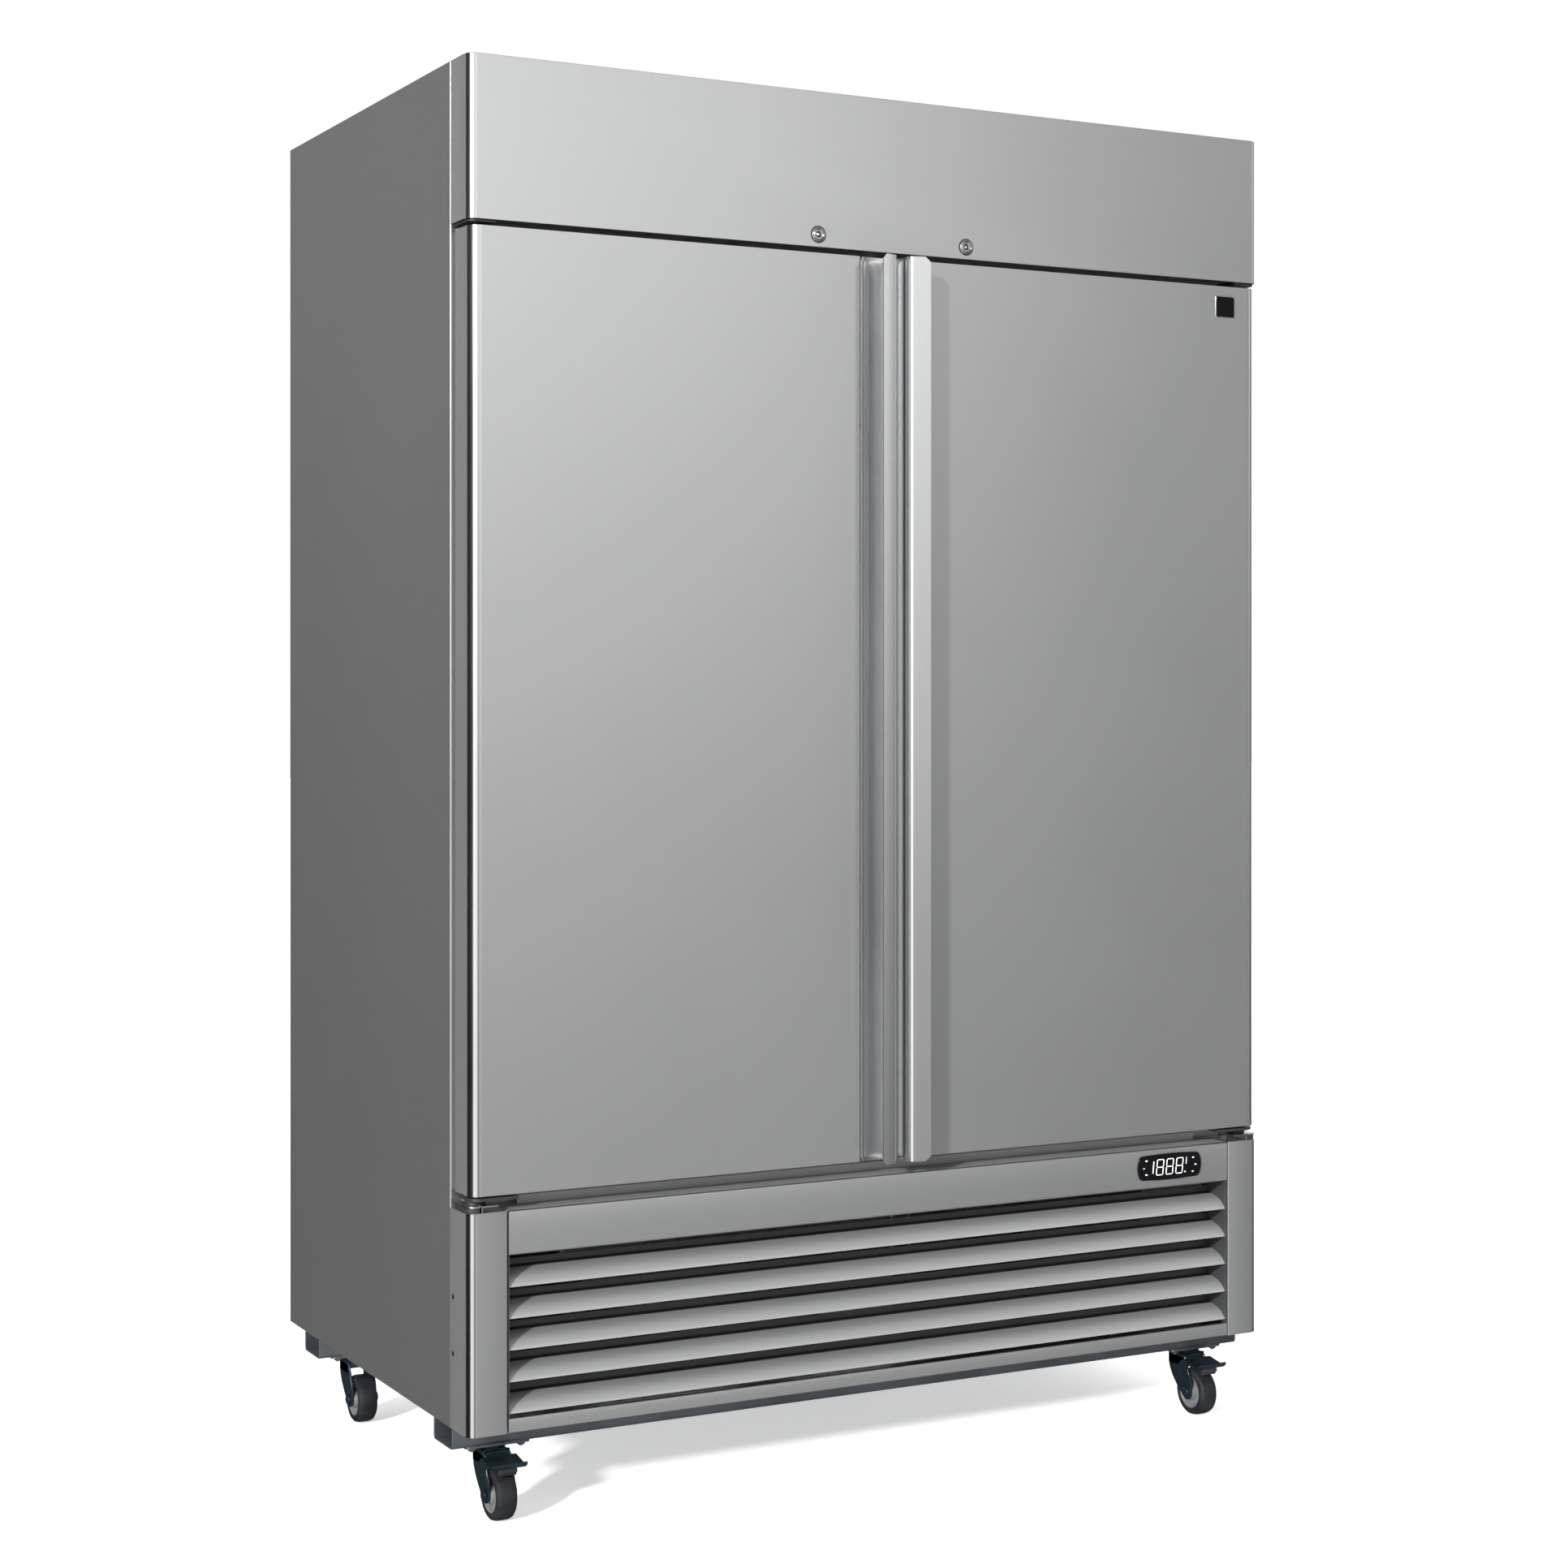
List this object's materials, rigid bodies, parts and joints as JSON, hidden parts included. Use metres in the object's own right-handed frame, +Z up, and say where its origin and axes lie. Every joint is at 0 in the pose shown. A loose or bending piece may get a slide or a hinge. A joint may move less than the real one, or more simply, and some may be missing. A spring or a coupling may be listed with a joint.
{
  "type": "reach-in refrigerator",
  "caption": "Tall stainless reach-in refrigerator on casters with full-height doors, edge handles and a louvered machine compartment below.",
  "frame": {"origin": "on the floor, under the middle of the whole object's box", "axes": "+X to the viewer's right when facing the doors, +Y towards the back panel, +Z up"},
  "size_m": [1.3872, 0.858, 2.096],
  "materials": {
    "stainless": "satin",
    "stainless_side": "satin",
    "galvanized": "satin",
    "handle_steel": "satin",
    "liner_steel": "satin",
    "foam": "matte",
    "strip_plastic": "satin",
    "gasket": "matte",
    "black_gloss": "gloss",
    "black_plastic": "matte",
    "black_metal": "satin",
    "chrome": "polished",
    "aluminium": "satin",
    "coil_copper": "satin",
    "zinc": "satin",
    "tyre_grey": "matte",
    "wire_coat": "satin",
    "lamp": "satin",
    "grey_plastic": "satin"
  },
  "bodies": {
    "cabinet": {"side_panel_left": "stainless_side", "side_panel_right": "stainless_side", "back_panel": "galvanized", "top_panel": "galvanized", "insulation": "foam", "inner_liner": "liner_steel", "face_frame": "strip_plastic", "center_mullion": "strip_plastic", "header_panel": "stainless", "corner_post_left": "stainless", "corner_post_right": "stainless", "grille_frame": "stainless", "grille_louvers": "stainless", "display_module": "black_gloss", "base_channels": "galvanized", "base_panels": "galvanized", "rear_grille": "galvanized", "hinge_brackets_left": "black_metal", "hinge_brackets_right": "black_metal", "lock_bodies": "chrome", "compressor": "black_metal", "condenser_coil": "coil_copper", "condenser_shroud": "galvanized", "evaporator_coil": "aluminium", "evaporator_cover": "liner_steel", "drain_pan": "galvanized", "shelf_supports": "liner_steel", "shelves_left": "wire_coat", "shelves_right": "wire_coat", "interior_lights": "lamp", "cord_gland": "black_plastic", "caster_plates": "zinc", "cabinet_screws": "chrome"},
    "door_left": {"door_skin_left": "stainless", "door_liner_left": "liner_steel", "door_foam_left": "foam", "door_gasket_left": "gasket", "door_handle_left": "handle_steel", "hinge_bushes_left": "black_plastic"},
    "lock_left": {"lock_cylinder_left": "chrome"},
    "door_right": {"door_skin_right": "stainless", "door_liner_right": "liner_steel", "door_foam_right": "foam", "door_gasket_right": "gasket", "door_handle_right": "handle_steel", "hinge_bushes_right": "black_plastic"},
    "lock_right": {"lock_cylinder_right": "chrome"},
    "condenser_fan": {"condenser_fan": "grey_plastic"},
    "evaporator_fan_left": {"evaporator_fan_left": "black_plastic"},
    "evaporator_fan_right": {"evaporator_fan_right": "black_plastic"},
    "caster_front_left": {"caster_fork_front_left": "zinc"},
    "wheel_front_left": {"caster_wheel_front_left": "tyre_grey"},
    "caster_front_right": {"caster_fork_front_right": "zinc"},
    "wheel_front_right": {"caster_wheel_front_right": "tyre_grey"},
    "caster_rear_left": {"caster_fork_rear_left": "zinc"},
    "wheel_rear_left": {"caster_wheel_rear_left": "tyre_grey"},
    "caster_rear_right": {"caster_fork_rear_right": "zinc"},
    "wheel_rear_right": {"caster_wheel_rear_right": "tyre_grey"},
    "pedal_left": {"brake_pedal_left": "zinc"},
    "pedal_right": {"brake_pedal_right": "zinc"}
  },
  "joints": [
    {"name": "door_left_hinge", "type": "hinge", "parent": "cabinet", "child": "door_left", "pos_m": [-0.669, -0.355, 1.167], "axis": [0, 0, -1], "range_deg": [0, 110], "stiffness_Nm_per_rad": 1.6, "springref_deg": -20.05},
    {"name": "door_right_hinge", "type": "hinge", "parent": "cabinet", "child": "door_right", "pos_m": [0.669, -0.355, 1.167], "axis": [0, 0, 1], "range_deg": [0, 110], "stiffness_Nm_per_rad": 1.6, "springref_deg": -20.05},
    {"name": "lock_left_turn", "type": "hinge", "parent": "cabinet", "child": "lock_left", "pos_m": [-0.13, -0.386, 1.881], "axis": [0, -1, 0], "range_deg": [0, 90]},
    {"name": "lock_right_turn", "type": "hinge", "parent": "cabinet", "child": "lock_right", "pos_m": [0.13, -0.386, 1.881], "axis": [0, -1, 0], "range_deg": [0, 90]},
    {"name": "condenser_fan_spin", "type": "hinge", "parent": "cabinet", "child": "condenser_fan", "pos_m": [0.3, -0.196, 0.285], "axis": [0, 1, 0], "continuous": true},
    {"name": "evaporator_fan_left_spin", "type": "hinge", "parent": "cabinet", "child": "evaporator_fan_left", "pos_m": [-0.27, 0.138, 1.95], "axis": [0, 1, 0], "continuous": true},
    {"name": "evaporator_fan_right_spin", "type": "hinge", "parent": "cabinet", "child": "evaporator_fan_right", "pos_m": [0.27, 0.138, 1.95], "axis": [0, 1, 0], "continuous": true},
    {"name": "caster_front_left_swivel", "type": "hinge", "parent": "cabinet", "child": "caster_front_left", "pos_m": [-0.618, -0.2875, 0.096], "axis": [0, 0, 1], "continuous": true},
    {"name": "wheel_front_left_roll", "type": "hinge", "parent": "caster_front_left", "child": "wheel_front_left", "pos_m": [-0.618, -0.3185, 0.038], "axis": [1, 0, 0], "continuous": true},
    {"name": "caster_front_right_swivel", "type": "hinge", "parent": "cabinet", "child": "caster_front_right", "pos_m": [0.618, -0.2875, 0.096], "axis": [0, 0, 1], "continuous": true},
    {"name": "wheel_front_right_roll", "type": "hinge", "parent": "caster_front_right", "child": "wheel_front_right", "pos_m": [0.618, -0.3185, 0.038], "axis": [1, 0, 0], "continuous": true},
    {"name": "caster_rear_left_swivel", "type": "hinge", "parent": "cabinet", "child": "caster_rear_left", "pos_m": [-0.618, 0.3105, 0.096], "axis": [0, 0, 1], "continuous": true},
    {"name": "wheel_rear_left_roll", "type": "hinge", "parent": "caster_rear_left", "child": "wheel_rear_left", "pos_m": [-0.618, 0.2795, 0.038], "axis": [1, 0, 0], "continuous": true},
    {"name": "caster_rear_right_swivel", "type": "hinge", "parent": "cabinet", "child": "caster_rear_right", "pos_m": [0.618, 0.3105, 0.096], "axis": [0, 0, 1], "continuous": true},
    {"name": "wheel_rear_right_roll", "type": "hinge", "parent": "caster_rear_right", "child": "wheel_rear_right", "pos_m": [0.618, 0.2795, 0.038], "axis": [1, 0, 0], "continuous": true},
    {"name": "pedal_left_press", "type": "hinge", "parent": "caster_front_left", "child": "pedal_left", "pos_m": [-0.618, -0.3095, 0.08], "axis": [1, 0, 0], "range_deg": [0, 10]},
    {"name": "pedal_right_press", "type": "hinge", "parent": "caster_front_right", "child": "pedal_right", "pos_m": [0.618, -0.3095, 0.08], "axis": [1, 0, 0], "range_deg": [0, 10]}
  ]
}
